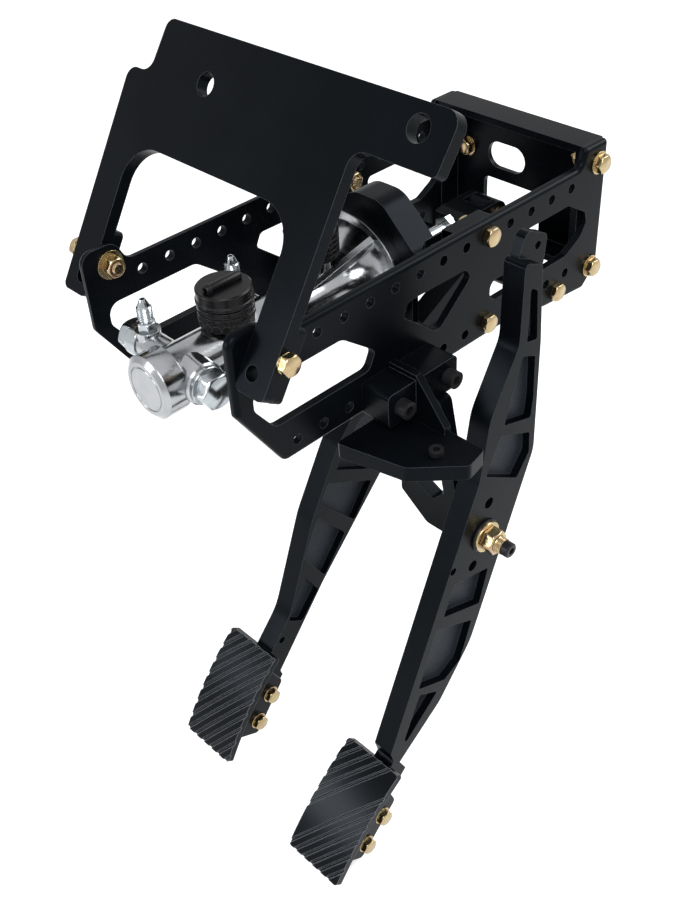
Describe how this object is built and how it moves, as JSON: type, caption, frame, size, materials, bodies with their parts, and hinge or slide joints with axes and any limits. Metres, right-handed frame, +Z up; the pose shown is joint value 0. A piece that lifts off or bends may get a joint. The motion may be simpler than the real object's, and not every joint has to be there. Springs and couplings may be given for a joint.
{
  "type": "pedal box",
  "caption": "Overhung pedal box: drilled side plates carry a tandem brake cylinder with its push rod, a brake arm and a throttle arm, and a tilting mounting plate.",
  "frame": {"origin": "centre of a hole of the upper row, on the outer face of the right side plate", "axes": "+X to the driver's right, +Y forward to the firewall, +Z up"},
  "size_m": [0.3041, 0.4532, 0.6335],
  "materials": {
    "black_anodised": "black anodised, satin",
    "zinc_gold": "yellow zinc plated",
    "cast_silver": "polished casting",
    "bright_steel": "bright plated",
    "black_steel": "black oxide",
    "black_plastic": "moulded",
    "bronze": "sintered",
    "seal_rubber": "matt"
  },
  "bodies": {
    "frame": {"side_plate_right": "black_anodised", "side_plate_left": "black_anodised", "mounting_plate_bolts": "zinc_gold", "mounting_plate_nuts": "zinc_gold", "firewall_channel": "black_anodised", "firewall_bolts": "zinc_gold", "cross_bracket": "black_anodised", "frame_bolts": "zinc_gold", "frame_nuts": "zinc_gold", "cylinder_body": "cast_silver", "cylinder_end_cap": "cast_silver", "front_reservoir_inlet": "black_plastic", "rear_reservoir_inlet": "black_plastic", "outlet_fittings": "bright_steel", "side_port_plug": "bright_steel", "flange_bolts": "zinc_gold", "flange_nuts": "zinc_gold", "secondary_spring": "bright_steel", "piston_retaining_ring": "black_steel", "brake_pivot_sleeve": "bright_steel", "brake_pivot_collars": "black_anodised", "brake_pivot_bolt": "zinc_gold", "brake_pivot_nut": "zinc_gold", "throttle_stud": "black_steel", "throttle_stud_nuts": "zinc_gold", "throttle_block": "black_anodised", "throttle_block_screws": "black_steel", "throttle_shelf": "black_anodised", "throttle_hanger": "black_anodised", "throttle_stop_screw": "black_steel"},
    "mount_plate": {"mounting_plate": "black_anodised"},
    "brake_pedal": {"brake_arm": "black_anodised", "brake_arm_bushing": "bronze", "brake_pad": "black_anodised", "brake_pad_bolts": "zinc_gold"},
    "push_rod_set": {"push_rod": "bright_steel", "push_rod_locknut": "bright_steel", "push_rod_clevis": "black_anodised", "clevis_pin": "zinc_gold", "primary_piston": "bright_steel", "primary_seals": "seal_rubber"},
    "secondary_set": {"secondary_piston": "bright_steel", "secondary_seals": "seal_rubber", "primary_spring": "bright_steel"},
    "throttle_pedal": {"throttle_arm": "black_anodised", "throttle_bushing": "bronze", "throttle_pad": "black_anodised", "throttle_pad_bolts": "zinc_gold"}
  },
  "joints": [
    {"name": "mount_plate_tilt", "type": "hinge", "parent": "frame", "child": "mount_plate", "pos_m": [-0.08413, -0.052, 0.0146], "axis": [1, 0, 0], "range_deg": [-10, 10]},
    {"name": "brake_pivot", "type": "hinge", "parent": "frame", "child": "brake_pedal", "pos_m": [-0.08413, 0.267, -0.088], "axis": [1, 0, 0], "range_deg": [0, 12], "stiffness_Nm_per_rad": 11, "springref_deg": -17.19},
    {"name": "push_rod_slide", "type": "slide", "parent": "frame", "child": "push_rod_set", "axis": [0, -1, 0], "range_m": [0, 0.0105]},
    {"name": "secondary_slide", "type": "slide", "parent": "frame", "child": "secondary_set", "axis": [0, -1, 0], "range_m": [0, 0.0105]},
    {"name": "throttle_pivot", "type": "hinge", "parent": "frame", "child": "throttle_pedal", "pos_m": [0.0635, 0.094, -0.203], "axis": [1, 0, 0], "range_deg": [0, 11]}
  ],
  "couplings": [
    {"joint": "push_rod_slide", "follows": "brake_pivot", "m_per_rad": 0.047},
    {"joint": "secondary_slide", "follows": "brake_pivot", "m_per_rad": 0.047}
  ]
}
